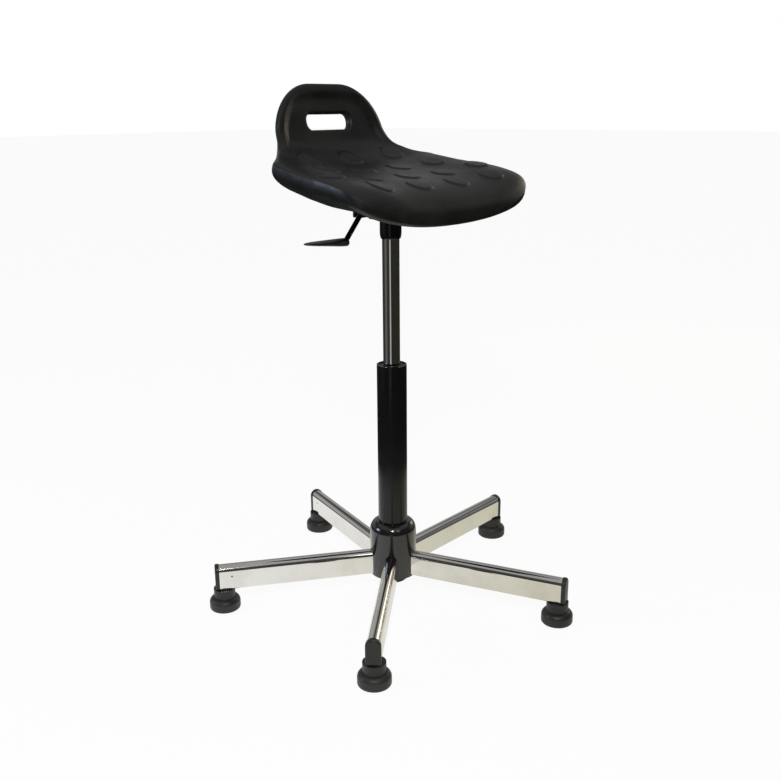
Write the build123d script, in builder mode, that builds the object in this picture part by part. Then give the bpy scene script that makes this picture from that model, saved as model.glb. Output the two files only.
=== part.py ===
from build123d import *
import math
import os

# A height-adjustable clinic stool: moulded saddle seat with a low back, gas lift, five-leg base.
# Millimetres and degrees. The origin is on the floor under the column, +Z is up, and the
# sitter faces -Y. The lift is modelled fully raised.

# Shared fits
running_gap = 0.05
fixed_gap = 0.05
face_gap = 0.3
overrun = 5.0

# Legs: arched tubes that lie level and meet in the hub
leg_count = 5
leg_width = 22.0
leg_height = 42.5
leg_bottom = 38.0
leg_wall = 1.5
leg_corner = 3.0
leg_reach = 303.0
leg_stake_diameter = 3.0
leg_stake_inset = 21.0
leg_stake_height_share = 0.56

# Moulded plugs that close the legs and hold the glide stems
plug_plate = 7.0
plug_lip = 1.0
plug_edge = 2.5
plug_length = 34.0
plug_slot_width = 16.0
plug_bore_depth = 29.0

# Glides
glide_inset = 7.5
glide_diameter = 52.0
glide_height = 22.0
glide_sole_edge = 4.0
glide_dome = 9.0
glide_neck_diameter = 36.0
stem_diameter = 11.0
stem_length = 48.0
stem_tip = 1.5
ring_width = 1.4
ring_depth = 0.8
ring_grip = 0.45
ring_split = 2.5
ring_below_tip = 7.0

# Hub and its cover
hub_diameter = 70.0
hub_bottom = 36.0
hub_edge = 6.0
hub_shoulder = 3.0
cover_diameter = 80.0
cover_wall = 2.5
cover_skirt = 35.5
cover_rise = 17.0
cover_collar_wall = 2.0

# Column
column_diameter = 50.0
column_wall = 2.0
column_bottom = 22.0
column_top = 413.0
column_floor = 4.0
column_edge = 4.0
bush_length = 80.0
bush_recess = 2.0
bush_funnel = 2.5

# Thrust bearing and lower rod end
rod_diameter = 10.0
rod_neck_diameter = 8.0
race_diameter = 26.0
race_thickness = 1.5
ball_diameter = 4.0
ball_count = 8
cage_thickness = 1.6
damper_diameter = 24.0
damper_height = 12.0
clip_diameter = 15.0
clip_thickness = 1.2
rod_tail = 3.0
rod_groove = 0.8
rod_tip_step = 1.0

# Gas cylinder
lift_travel = 200.0
cylinder_diameter = 28.0
cylinder_wall = 1.5
tube_diameter = 22.0
tube_wall = 1.0
rod_guide_length = 18.0
rod_seal_length = 6.0
seal_lip = 1.0
piston_length = 15.0
piston_ring_width = 3.0
piston_ring_depth = 1.5
piston_nut_diameter = 15.0
piston_nut_height = 6.0
taper_length = 40.0
taper_end_diameter = 26.4
cylinder_end = 2.0
valve_length = 25.0
pin_diameter = 8.0
pin_length = 30.0
pin_stand = 8.0
pin_tip = 0.8

# Seat socket and mounting plate
socket_diameter = 35.0
socket_drop = 66.0
socket_edge = 11.0
socket_rim = 0.6
plate_thickness = 3.0
plate_width = 120.0
plate_depth = 130.0
plate_back_shift = -12.0
plate_corner = 14.0
channel_width = 50.0
channel_depth = 26.0
channel_bend = 2.0
lever_window_width = 18.0
lever_window_reach = 44.0

# Bolts that hold the plate to the board
bolt_inset_x = 13.0
bolt_inset_y = 15.0
bolt_diameter = 8.0
bolt_head_diameter = 14.0
bolt_head_height = 5.3
bolt_socket_width = 6.0
bolt_socket_depth = 3.0
washer_diameter = 18.0
washer_thickness = 1.6
nut_barrel_diameter = 10.0
nut_flange_diameter = 20.0
nut_flange_thickness = 1.5

# Board moulded into the seat
board_width = 210.0
board_depth = 136.0
board_thickness = 9.0
board_corner = 30.0
pocket_gap = 3.0
lever_relief_width = 18.0
lever_relief_reach = 84.0
lever_relief_rise = 6.0

# Lever
lever_diameter = 8.0
lever_arm = 30.0
lever_knee_reach = 62.0
lever_knee_drop = 3.0
lever_elbow_reach = 104.5
lever_elbow_drop = 49.0
lever_end_reach = 146.0
lever_end_drop = 46.5
lever_knee_radius = 14.0
lever_elbow_radius = 9.0
lever_inner_overhang = 3.0
lever_eye_diameter = 15.0
lever_eye_width = 14.0
pivot_diameter = 6.0
pivot_head_diameter = 10.0
pivot_head_thickness = 2.0
pivot_overhang = 3.0
pivot_clip_diameter = 11.0
pivot_clip_thickness = 1.0
pivot_groove = 0.8

# Lever paddle: reach along the lever, half width and half thickness of its sections
paddle_root = 101.0
paddle_length = 84.5
paddle_half_width = 17.0
paddle_half_thickness = 6.2
paddle_rise = 5.0
paddle_length_shares = (0.0, 0.2, 0.58, 0.88, 1.0)
paddle_width_shares = (0.38, 0.62, 1.0, 0.72, 0.3)
paddle_thickness_shares = (1.0, 0.95, 0.62, 0.38, 0.22)

# Seat: a centre line from the nose over the pan and up the back
seat_height = 725.0
seat_over_plate = 39.0
seat_tilt = 7.6
pan_front = 147.5
pan_rear = 61.0
bend_radius = 71.5
bend_angle = 72.0
back_length = 70.5
droop = 14.5
droop_length = 90.0

# Seat widths, thicknesses and dish along that line
front_half_width = 207.5
middle_half_width = 206.5
rear_half_width = 186.5
bend_narrowing = 9.5
back_half_width = 122.0
front_thickness = 47.5
middle_thickness = 56.0
middle_thickness_share = 0.6
rear_thickness = 53.5
back_thickness = 25.0
back_thickness_share = 0.8
front_dish = 17.0
middle_dish = 17.5
rear_dish = 21.5
bend_dish = 24.0
back_dish = 10.5
dish_reference = 190.0
nose_length = 59.0
nose_power = 2.8
nose_width_share = 0.45
nose_thickness_share = 0.14
nose_fullness_share = 0.7
nose_sink_share = 0.6
crown_length = 86.0
crown_power = 1.9
crown_width_share = 0.28
crown_thickness_share = 0.16
crown_fullness_share = 0.5
crown_sink_share = 0.5
edge_power_share = 0.5
face_power_share = 0.6
side_fullness_share = 0.6
back_widest_share = 0.41
back_edge_power_share = 0.62
back_face_power_share = 0.76
rounding_start_share = 0.75
rounding_end_share = 0.5

# Number of sections that shape each stretch of the seat
nose_sections = 9
pan_sections = 2
bend_sections = 3
crown_sections = 5
section_points_count = 8

# Hand hole
hole_width = 104.0
hole_height = 27.5
hole_along_back = 10.8
hole_corner = 11.0

# Places that follow from the sizes above
glide_circle_radius = leg_reach - glide_inset
plate_top = seat_height - seat_over_plate
bolt_spacing_x = plate_width - 2 * bolt_inset_x
bolt_spacing_y = plate_depth - 2 * bolt_inset_y
socket_bottom = plate_top - socket_drop
leg_top = leg_bottom + leg_height
hub_radius = hub_diameter / 2
column_radius = column_diameter / 2
column_bore = column_radius - column_wall
cover_bottom = leg_top + face_gap
cover_shoulder = cover_bottom + cover_skirt
cover_top = cover_shoulder + cover_rise
hub_top = cover_shoulder - cover_wall
bearing_floor = column_bottom + column_floor
ball_track = (race_diameter + rod_neck_diameter) / 4
ball_level = bearing_floor + race_thickness + ball_diameter / 2
upper_race_bottom = ball_level + ball_diameter / 2
rod_shoulder = upper_race_bottom + race_thickness
damper_top = rod_shoulder + damper_height
cylinder_bottom = damper_top + lift_travel + face_gap
rod_radius = rod_diameter / 2
cylinder_radius = cylinder_diameter / 2
cylinder_bore = cylinder_radius - cylinder_wall
guide_top = cylinder_bottom + rod_guide_length
tube_radius = tube_diameter / 2
tube_bore = tube_radius - tube_wall
piston_bottom = guide_top + rod_seal_length + face_gap
piston_top = piston_bottom + piston_length
socket_top = plate_top - channel_depth
taper_top = socket_bottom + taper_length
cylinder_top = taper_top + cylinder_end
valve_bottom = taper_top - valve_length
pin_top = cylinder_top + pin_stand
board_bottom = plate_top
lever_tip_height = pin_top + face_gap + lever_diameter / 2
lever_axis_height = lever_tip_height - lever_knee_drop * lever_arm / lever_knee_reach
stem_bottom = leg_bottom + plug_bore_depth - stem_length - face_gap
stem_top = stem_bottom + stem_length
ring_level = stem_top - ring_below_tip
pan_length = pan_front + pan_rear
bend_length = bend_radius * math.radians(bend_angle)
seat_line = pan_length + bend_length + back_length
hole_station = pan_length + bend_length + hole_along_back


def save(piece, label):
    """Label a finished piece and write it."""
    piece.part.label = label
    export_step(piece.part, f"parts/{label}.step")


def turned(profile):
    """Ring or shaft about the column axis, from (radius, height) corners."""
    with BuildPart() as piece:
        with BuildSketch(Plane.XZ):
            with BuildLine():
                Polyline(*profile, close=True)
            make_face()
        revolve(axis=Axis.Z)
    return piece


def ring(inner, outer, bottom, top):
    """Plain ring about the column axis."""
    return turned([(inner, bottom), (outer, bottom), (outer, top), (inner, top)])


def spoke_plane(angle):
    """Floor plane turned to one leg: x runs outward, y across, z up."""
    return Plane.XY.rotated((0, 0, angle))


def across_leg(spoke, reach):
    """Plane square to a leg at a reach: x runs across, y up."""
    return Plane(spoke.from_local_coords((reach, 0, 0)), x_dir=spoke.y_dir, z_dir=spoke.x_dir)


def beside_leg(spoke, reach):
    """Upright plane through a leg at a reach: x runs outward, y up."""
    return Plane(spoke.from_local_coords((reach, 0, 0)), x_dir=spoke.x_dir, z_dir=-spoke.y_dir)


def arch_sketch(plane, width, bottom, top, corner):
    """Tube section with a round top, flat sides and small lower corners."""
    with BuildSketch(plane) as arch:
        with Locations((0, bottom)):
            flat = top - width / 2 - bottom
            Rectangle(width, flat, align=(Align.CENTER, Align.MIN))
        fillet(arch.vertices().group_by(Axis.Y)[0], corner)
        with Locations((0, top - width / 2)):
            Circle(width / 2)
    return arch.sketch


def slot_sketch(spoke, level, width, length):
    """U-shaped slot round the stem, running out towards the leg's end."""
    with BuildSketch(spoke.offset(level)) as slot:
        with Locations((glide_circle_radius, 0)):
            Circle(width / 2)
            Rectangle(length, width, align=(Align.MIN, Align.CENTER))
    return slot.sketch


def leg(spoke):
    """One chromed leg, cut to the hub and slotted at its end for the stem socket."""
    with BuildPart() as piece:
        outside = arch_sketch(across_leg(spoke, 0), leg_width, leg_bottom, leg_top, leg_corner)
        extrude(outside, amount=leg_reach)
        inside = arch_sketch(
            across_leg(spoke, 0),
            leg_width - 2 * leg_wall,
            leg_bottom + leg_wall,
            leg_top - leg_wall,
            leg_corner - leg_wall,
        )
        extrude(inside, amount=leg_reach, mode=Mode.SUBTRACT)
        with BuildSketch(Plane.XY):
            Circle(hub_radius + fixed_gap)
        extrude(amount=leg_top + overrun, mode=Mode.SUBTRACT)
        slot = slot_sketch(
            spoke, leg_bottom - overrun, plug_slot_width + 2 * fixed_gap, leg_reach - glide_circle_radius
        )
        extrude(slot, amount=leg_wall + overrun, mode=Mode.SUBTRACT)
        with BuildSketch(beside_leg(spoke, leg_reach - leg_stake_inset)):
            with Locations((0, leg_bottom + leg_height * leg_stake_height_share)):
                Circle(leg_stake_diameter / 2)
        extrude(amount=-leg_width, mode=Mode.SUBTRACT)
    return piece


def leg_plug(spoke):
    """Moulded end plug: domed plate, body inside the tube and a socket for the stem."""
    body_width = leg_width - 2 * leg_wall - 2 * fixed_gap
    body_bottom = leg_bottom + leg_wall + fixed_gap
    body_top = leg_top - leg_wall - fixed_gap
    outward = Axis((0, 0, 0), spoke.x_dir)
    with BuildPart() as piece:
        plate = arch_sketch(
            across_leg(spoke, leg_reach),
            leg_width + 2 * plug_lip,
            leg_bottom,
            leg_top + plug_lip,
            leg_corner,
        )
        extrude(plate, amount=plug_plate)
        body = arch_sketch(
            across_leg(spoke, leg_reach - plug_length),
            body_width,
            body_bottom,
            body_top,
            leg_corner - leg_wall,
        )
        extrude(body, amount=plug_length)
        boss = slot_sketch(spoke, leg_bottom, plug_slot_width, leg_reach - glide_circle_radius)
        extrude(boss, amount=leg_wall + leg_corner)
        with BuildSketch(spoke.offset(leg_bottom)):
            with Locations((glide_circle_radius, 0)):
                Circle(stem_diameter / 2 + running_gap)
        extrude(amount=plug_bore_depth, mode=Mode.SUBTRACT)
        with BuildSketch(spoke.offset(ring_level - ring_width)):
            with Locations((glide_circle_radius, 0)):
                Circle(stem_diameter / 2 + ring_grip + face_gap)
        extrude(amount=2 * ring_width, mode=Mode.SUBTRACT)
        fillet(piece.faces().sort_by(outward)[-1].edges(), plug_edge)
    return piece


def glide_foot(spoke):
    """Bell-shaped floor glide with a neck up to the leg."""
    centre = spoke.from_local_coords((glide_circle_radius, 0, 0))
    neck_top = leg_bottom - face_gap
    with BuildPart() as piece:
        with BuildSketch(beside_leg(spoke, glide_circle_radius)) as section:
            Rectangle(glide_diameter / 2, glide_height, align=(Align.MIN, Align.MIN))
            rim = section.vertices().group_by(Axis.X)[-1]
            fillet(rim.sort_by(Axis.Y)[0], glide_sole_edge)
            shoulder = section.vertices().group_by(Axis.Y)[-1]
            fillet(shoulder.sort_by(Axis.X)[-1], glide_dome)
            Rectangle(glide_neck_diameter / 2, neck_top, align=(Align.MIN, Align.MIN))
        revolve(axis=Axis(centre, (0, 0, 1)))
        with BuildSketch(spoke.offset(stem_bottom - fixed_gap)):
            with Locations((glide_circle_radius, 0)):
                Circle(stem_diameter / 2 + fixed_gap)
        extrude(amount=leg_bottom, mode=Mode.SUBTRACT)
    return piece


def glide_stem(spoke):
    """Steel stem with a groove for its grip ring."""
    with BuildPart() as piece:
        with BuildSketch(spoke.offset(stem_bottom)):
            with Locations((glide_circle_radius, 0)):
                Circle(stem_diameter / 2)
        extrude(amount=stem_length)
        chamfer(piece.faces().sort_by(Axis.Z)[-1].edges(), stem_tip)
        with BuildSketch(spoke.offset(ring_level - ring_width / 2)):
            with Locations((glide_circle_radius, 0)):
                Circle(stem_diameter)
                Circle(stem_diameter / 2 - ring_depth, mode=Mode.SUBTRACT)
        extrude(amount=ring_width, mode=Mode.SUBTRACT)
    return piece


def glide_ring(spoke):
    """Split spring ring that grips the plug's socket."""
    with BuildPart() as piece:
        with BuildSketch(spoke.offset(ring_level - ring_width / 2 + fixed_gap)):
            with Locations((glide_circle_radius, 0)):
                Circle(stem_diameter / 2 + ring_grip)
                Circle(stem_diameter / 2 - ring_depth + fixed_gap, mode=Mode.SUBTRACT)
                Rectangle(
                    stem_diameter,
                    ring_split,
                    align=(Align.MIN, Align.CENTER),
                    mode=Mode.SUBTRACT,
                )
        extrude(amount=ring_width - 2 * fixed_gap)
    return piece


def hub():
    """Steel hub that the legs are welded to."""
    with BuildPart() as piece:
        with BuildSketch(Plane.XY.offset(hub_bottom)):
            Circle(hub_radius)
            Circle(column_radius + fixed_gap, mode=Mode.SUBTRACT)
        extrude(amount=hub_top - hub_bottom)
        rim = piece.edges().filter_by(GeomType.CIRCLE)
        fillet(rim.group_by(Axis.Z)[0].sort_by(SortBy.RADIUS)[-1], hub_edge)
        chamfer(rim.group_by(Axis.Z)[-1].sort_by(SortBy.RADIUS)[-1], hub_shoulder)
    return piece


def hub_cover():
    """Glossy shroud: straight skirt, rounded shoulder and a thin collar on the column."""
    outer = cover_diameter / 2
    inner = outer - cover_wall
    neck = column_radius + face_gap
    collar = neck + cover_collar_wall
    with BuildPart() as piece:
        with BuildSketch(Plane.XZ):
            with BuildLine():
                Line((inner, cover_bottom), (outer, cover_bottom))
                Line((outer, cover_bottom), (outer, cover_shoulder))
                EllipticalCenterArc(
                    (collar, cover_shoulder), outer - collar, cover_rise, arc_size=90
                )
                Line((collar, cover_top), (neck, cover_top))
                Line((neck, cover_top), (neck, cover_top - cover_wall))
                Line((neck, cover_top - cover_wall), (collar, cover_top - cover_wall))
                EllipticalCenterArc(
                    (collar, cover_shoulder), inner - collar, cover_rise - cover_wall, arc_size=90
                )
                Line((inner, cover_shoulder), (inner, cover_bottom))
            make_face()
        revolve(axis=Axis.Z)
    return piece


def column_tube():
    """Column with a closed, rounded foot and a hole for the rod end."""
    with BuildPart() as piece:
        with BuildSketch(Plane.XY.offset(column_bottom)):
            Circle(column_radius)
        extrude(amount=column_top - column_bottom)
        fillet(piece.faces().sort_by(Axis.Z)[0].edges(), column_edge)
        with BuildSketch(Plane.XY.offset(bearing_floor)):
            Circle(column_bore)
        extrude(amount=column_top, mode=Mode.SUBTRACT)
        with BuildSketch(Plane.XY.offset(column_bottom - overrun)):
            Circle(rod_neck_diameter / 2 + running_gap)
        extrude(amount=column_floor + 2 * overrun, mode=Mode.SUBTRACT)
    return piece


def guide_bush():
    """Plastic bush that guides the cylinder at the column's mouth."""
    bore = cylinder_radius + running_gap
    outer = column_bore - fixed_gap
    top = column_top - bush_recess
    bottom = column_top - bush_length
    return turned([
        (bore, bottom),
        (outer, bottom),
        (outer, top),
        (bore + bush_funnel, top),
        (bore, top - bush_funnel),
    ])


def bearing_balls():
    """Ring of steel balls between the two races."""
    with BuildPart() as piece:
        with Locations((0, 0, ball_level)):
            with PolarLocations(ball_track, ball_count):
                Sphere(ball_diameter / 2)
    return piece


def ball_cage():
    """Flat cage with a pocket for each ball."""
    with BuildPart() as piece:
        with BuildSketch(Plane.XY.offset(ball_level - cage_thickness / 2)):
            Circle(race_diameter / 2)
            Circle(rod_neck_diameter / 2 + face_gap, mode=Mode.SUBTRACT)
            with PolarLocations(ball_track, ball_count):
                Circle(ball_diameter / 2 + fixed_gap, mode=Mode.SUBTRACT)
        extrude(amount=cage_thickness)
    return piece


def piston_rod():
    """Rod with a turned-down neck through the bearing and a clip groove below the column."""
    neck = rod_neck_diameter / 2
    groove_top = column_bottom - face_gap
    groove_bottom = groove_top - clip_thickness
    foot = groove_bottom - rod_tail
    groove = neck - rod_groove
    tip = rod_radius - rod_tip_step
    return turned([
        (0, foot),
        (neck, foot),
        (neck, groove_bottom),
        (groove, groove_bottom),
        (groove, groove_top),
        (neck, groove_top),
        (neck, rod_shoulder),
        (rod_radius, rod_shoulder),
        (rod_radius, piston_bottom),
        (tip, piston_bottom),
        (tip, piston_top + piston_nut_height),
        (0, piston_top + piston_nut_height),
    ])


def rod_clip():
    """Retaining clip under the column's floor, open on one side."""
    top = column_bottom - face_gap - fixed_gap
    with BuildPart() as piece:
        with BuildSketch(Plane.XY.offset(top - clip_thickness + 2 * fixed_gap)):
            Circle(clip_diameter / 2)
            Circle(rod_neck_diameter / 2 - rod_groove + fixed_gap, mode=Mode.SUBTRACT)
            Rectangle(
                clip_diameter,
                rod_neck_diameter / 2,
                align=(Align.MIN, Align.CENTER),
                mode=Mode.SUBTRACT,
            )
        extrude(amount=clip_thickness - 2 * fixed_gap)
    return piece


def piston():
    """Piston with a ring groove."""
    bore = rod_radius - rod_tip_step + fixed_gap
    outer = tube_bore - running_gap
    middle = (piston_bottom + piston_top) / 2
    groove = outer - piston_ring_depth
    return turned([
        (bore, piston_bottom),
        (outer, piston_bottom),
        (outer, middle - piston_ring_width / 2),
        (groove, middle - piston_ring_width / 2),
        (groove, middle + piston_ring_width / 2),
        (outer, middle + piston_ring_width / 2),
        (outer, piston_top),
        (bore, piston_top),
    ])


def piston_nut():
    """Six-sided nut that holds the piston on the rod."""
    with BuildPart() as piece:
        with BuildSketch(Plane.XY.offset(piston_top)):
            RegularPolygon(piston_nut_diameter / 2, 6)
            Circle(rod_radius - rod_tip_step + fixed_gap, mode=Mode.SUBTRACT)
        extrude(amount=piston_nut_height)
    return piece


def gas_cylinder():
    """Chromed cylinder, tapered where it enters the seat socket and closed round the pin."""
    end = taper_end_diameter / 2
    pin = pin_diameter / 2 + running_gap
    return turned([
        (cylinder_bore, cylinder_bottom),
        (cylinder_radius, cylinder_bottom),
        (cylinder_radius, socket_bottom),
        (end, taper_top),
        (end, cylinder_top),
        (pin, cylinder_top),
        (pin, taper_top),
        (end - cylinder_wall, taper_top),
        (cylinder_bore, socket_bottom),
    ])


def pressure_tube():
    """Inner tube that the piston runs in."""
    return ring(tube_bore, tube_radius, guide_top + fixed_gap, valve_bottom - fixed_gap)


def rod_guide():
    """Guide ring in the cylinder's lower end."""
    return ring(
        rod_radius + running_gap, cylinder_bore - fixed_gap, cylinder_bottom, guide_top
    )


def rod_seal():
    """Lip seal that rides on the guide, inside the pressure tube."""
    lip = tube_bore - fixed_gap
    bottom = guide_top + fixed_gap
    top = guide_top + rod_seal_length
    return turned([
        (rod_radius + running_gap, bottom),
        (lip, bottom),
        (lip, top),
        (lip - seal_lip, top),
        (rod_radius + seal_lip, top - seal_lip),
        (rod_radius + running_gap, top),
    ])


def piston_ring():
    """Seal ring in the piston's groove."""
    middle = (piston_bottom + piston_top) / 2
    outer = tube_bore - running_gap
    half = piston_ring_width / 2 - fixed_gap
    return ring(outer - piston_ring_depth + fixed_gap, outer, middle - half, middle + half)


def valve_body():
    """Valve block under the cylinder's closed end."""
    pin = pin_diameter / 2 + running_gap
    lower = cylinder_bore - fixed_gap
    slope = (cylinder_radius - taper_end_diameter / 2) / taper_length
    low_radius = lower - slope * (valve_bottom - socket_bottom)
    high_radius = lower - slope * (taper_top - socket_bottom)
    return turned([
        (pin, valve_bottom),
        (low_radius, valve_bottom),
        (high_radius, taper_top),
        (pin, taper_top),
    ])


def release_pin():
    """Valve pin that stands out of the cylinder's end."""
    with BuildPart() as piece:
        with BuildSketch(Plane.XY.offset(pin_top - pin_length)):
            Circle(pin_diameter / 2)
        extrude(amount=pin_length)
        chamfer(piece.faces().sort_by(Axis.Z)[-1].edges(), pin_tip)
    return piece


def seat_socket():
    """Socket that the cylinder's taper wedges into, with a long rounded lower end."""
    end = taper_end_diameter / 2 + fixed_gap
    outer = socket_diameter / 2
    mouth = cylinder_radius + fixed_gap
    lip = mouth + socket_rim
    with BuildPart() as piece:
        with BuildSketch(Plane.XZ):
            with BuildLine():
                Line((mouth, socket_bottom), (lip, socket_bottom))
                EllipticalCenterArc(
                    (lip, socket_bottom + socket_edge),
                    outer - lip,
                    socket_edge,
                    start_angle=-90,
                    arc_size=90,
                )
                Line((outer, socket_bottom + socket_edge), (outer, socket_top))
                Line((outer, socket_top), (end, socket_top))
                Line((end, socket_top), (mouth, socket_bottom))
            make_face()
        revolve(axis=Axis.Z)
    return piece


def mounting_plate():
    """Pressed plate: two flanges and a dropped channel for the socket and the lever."""
    flange = plate_top - plate_thickness
    floor = plate_top - channel_depth - plate_thickness
    half = channel_width / 2
    front = plate_back_shift - plate_depth / 2
    rear = plate_back_shift + plate_depth / 2
    inner = half - plate_thickness
    with BuildPart() as piece:
        with BuildSketch(Plane.YZ.offset(-plate_width / 2)) as section:
            with BuildLine():
                Polyline(
                    (front, flange),
                    (-half, flange),
                    (-half, floor),
                    (half, floor),
                    (half, flange),
                    (rear, flange),
                    (rear, plate_top),
                    (inner, plate_top),
                    (inner, floor + plate_thickness),
                    (-inner, floor + plate_thickness),
                    (-inner, plate_top),
                    (front, plate_top),
                    close=True,
                )
            make_face()
            bends = section.vertices().filter_by(lambda corner: abs(corner.X) < half + channel_bend)
            fillet(bends, channel_bend)
        extrude(amount=plate_width)
        corners = piece.edges().filter_by(Axis.Z)
        outer_corners = corners.filter_by(
            lambda edge: edge.center().Y < front + fixed_gap or edge.center().Y > rear - fixed_gap
        )
        fillet(outer_corners, plate_corner)
        with BuildSketch(Plane.XY.offset(floor - overrun)):
            Circle(socket_diameter / 2 + fixed_gap)
            with Locations((-lever_window_reach, 0)):
                Rectangle(plate_width, lever_window_width, align=(Align.MAX, Align.CENTER))
        extrude(amount=plate_thickness + 2 * overrun, mode=Mode.SUBTRACT)
        with BuildSketch(Plane.XY.offset(flange - overrun)):
            with Locations((0, plate_back_shift)):
                with GridLocations(bolt_spacing_x, bolt_spacing_y, 2, 2):
                    Circle(bolt_diameter / 2 + fixed_gap)
        extrude(amount=plate_thickness + 2 * overrun, mode=Mode.SUBTRACT)
        with BuildSketch(Plane.XZ.offset(-channel_width)):
            with Locations((-lever_arm, lever_axis_height)):
                Circle(pivot_diameter / 2 + fixed_gap)
        extrude(amount=2 * channel_width, mode=Mode.SUBTRACT)
    return piece


def bolt_places():
    """Plan positions of the four plate bolts."""
    return [
        (x * bolt_spacing_x / 2, plate_back_shift + y * bolt_spacing_y / 2)
        for x in (-1, 1)
        for y in (-1, 1)
    ]


def plate_bolts():
    """Four socket-head bolts, heads down."""
    head_top = plate_top - plate_thickness - washer_thickness
    with BuildPart() as piece:
        with BuildSketch(Plane.XY.offset(head_top - bolt_head_height)):
            with Locations(*bolt_places()):
                Circle(bolt_head_diameter / 2)
        extrude(amount=bolt_head_height)
        with BuildSketch(Plane.XY.offset(head_top)):
            with Locations(*bolt_places()):
                Circle(bolt_diameter / 2)
        extrude(amount=washer_thickness + plate_thickness + board_thickness - face_gap)
        with BuildSketch(Plane.XY.offset(head_top - bolt_head_height)):
            with Locations(*bolt_places()):
                RegularPolygon(bolt_socket_width / 2, 6)
        extrude(amount=bolt_socket_depth, mode=Mode.SUBTRACT)
    return piece


def plate_washers():
    """Four plain washers under the bolt heads."""
    with BuildPart() as piece:
        with BuildSketch(Plane.XY.offset(plate_top - plate_thickness - washer_thickness)):
            with Locations(*bolt_places()):
                Circle(washer_diameter / 2)
            with Locations(*bolt_places()):
                Circle(bolt_diameter / 2 + fixed_gap, mode=Mode.SUBTRACT)
        extrude(amount=washer_thickness)
    return piece


def tee_nuts():
    """Four nuts pressed into the board from above."""
    with BuildPart() as piece:
        with BuildSketch(Plane.XY.offset(board_bottom + fixed_gap)):
            with Locations(*bolt_places()):
                Circle(nut_barrel_diameter / 2)
        extrude(amount=board_thickness - fixed_gap)
        with BuildSketch(Plane.XY.offset(board_bottom + board_thickness)):
            with Locations(*bolt_places()):
                Circle(nut_flange_diameter / 2)
        extrude(amount=nut_flange_thickness)
        with BuildSketch(Plane.XY.offset(board_bottom)):
            with Locations(*bolt_places()):
                Circle(bolt_diameter / 2 + fixed_gap)
        extrude(amount=board_thickness, mode=Mode.SUBTRACT)
    return piece


def seat_board():
    """Plywood board that the seat is moulded round."""
    with BuildPart() as piece:
        with BuildSketch(Plane.XY.offset(board_bottom)):
            with Locations((0, plate_back_shift)):
                RectangleRounded(board_width, board_depth, board_corner)
            with Locations(*bolt_places()):
                Circle(nut_barrel_diameter / 2 + fixed_gap, mode=Mode.SUBTRACT)
        extrude(amount=board_thickness)
    return piece


def pivot_pin():
    """Headed pin across the channel that the lever turns on."""
    half = channel_width / 2
    with BuildPart() as piece:
        with BuildSketch(Plane.XZ.offset(-half)):
            with Locations((-lever_arm, lever_axis_height)):
                Circle(pivot_head_diameter / 2)
        extrude(amount=-pivot_head_thickness)
        with BuildSketch(Plane.XZ.offset(-half)):
            with Locations((-lever_arm, lever_axis_height)):
                Circle(pivot_diameter / 2)
        extrude(amount=channel_width + pivot_clip_thickness + pivot_overhang)
        with BuildSketch(Plane.XZ.offset(half)):
            with Locations((-lever_arm, lever_axis_height)):
                Circle(pivot_diameter)
                Circle(pivot_diameter / 2 - pivot_groove, mode=Mode.SUBTRACT)
        extrude(amount=pivot_clip_thickness, mode=Mode.SUBTRACT)
    return piece


def pivot_clip():
    """Clip in the pin's groove."""
    with BuildPart() as piece:
        with BuildSketch(Plane.XZ.offset(channel_width / 2 + fixed_gap)):
            with Locations((-lever_arm, lever_axis_height)):
                Circle(pivot_clip_diameter / 2)
                Circle(pivot_diameter / 2 - pivot_groove + fixed_gap, mode=Mode.SUBTRACT)
                Rectangle(
                    pivot_diameter / 2,
                    pivot_clip_diameter,
                    align=(Align.CENTER, Align.MIN),
                    mode=Mode.SUBTRACT,
                )
        extrude(amount=pivot_clip_thickness - 2 * fixed_gap)
    return piece


def lever_sweep(radius):
    """Round bar along the lever's route: level at the valve, down past the seat, level again."""
    tip = (lever_inner_overhang, 0, lever_tip_height)
    with BuildPart() as bar:
        with BuildLine() as route:
            FilletPolyline(
                tip,
                (-lever_knee_reach, 0, lever_tip_height - lever_knee_drop),
                (-lever_elbow_reach, 0, lever_tip_height - lever_elbow_drop),
                (-lever_end_reach, 0, lever_tip_height - lever_end_drop),
                radius=[lever_knee_radius, lever_elbow_radius],
            )
        with BuildSketch(Plane(origin=tip, z_dir=route.line % 0)):
            Circle(radius)
        sweep()
    return bar.part


def lever_rod():
    """Bent steel rod with an eye for the pivot pin."""
    with BuildPart() as piece:
        add(lever_sweep(lever_diameter / 2))
        with BuildSketch(Plane.XZ.offset(-lever_eye_width / 2)):
            with Locations((-lever_arm, lever_axis_height)):
                Circle(lever_eye_diameter / 2)
        extrude(amount=lever_eye_width)
        with BuildSketch(Plane.XZ.offset(-lever_eye_width)):
            with Locations((-lever_arm, lever_axis_height)):
                Circle(pivot_diameter / 2 + running_gap)
        extrude(amount=2 * lever_eye_width, mode=Mode.SUBTRACT)
    return piece


def lever_paddle():
    """Flat finger paddle, thick at the rod and thin at its rounded tip."""
    root_level = lever_tip_height - lever_elbow_drop
    with BuildPart() as piece:
        shares = zip(paddle_length_shares, paddle_width_shares, paddle_thickness_shares)
        for along, wide, thick in shares:
            reach = -paddle_root - paddle_length * along
            level = root_level + paddle_rise * along
            section = Plane((reach, 0, level), x_dir=(0, 1, 0), z_dir=(-1, 0, 0))
            with BuildSketch(section):
                Ellipse(paddle_half_width * wide, paddle_half_thickness * thick)
        loft()
        add(lever_sweep(lever_diameter / 2 + fixed_gap), mode=Mode.SUBTRACT)
    return piece


def blend_between(stations, values, place):
    """Straight-line value between named stations."""
    for i in range(len(stations) - 1):
        if place <= stations[i + 1]:
            share = (place - stations[i]) / (stations[i + 1] - stations[i])
            return values[i] + (values[i + 1] - values[i]) * max(share, 0)
    return values[-1]


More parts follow.
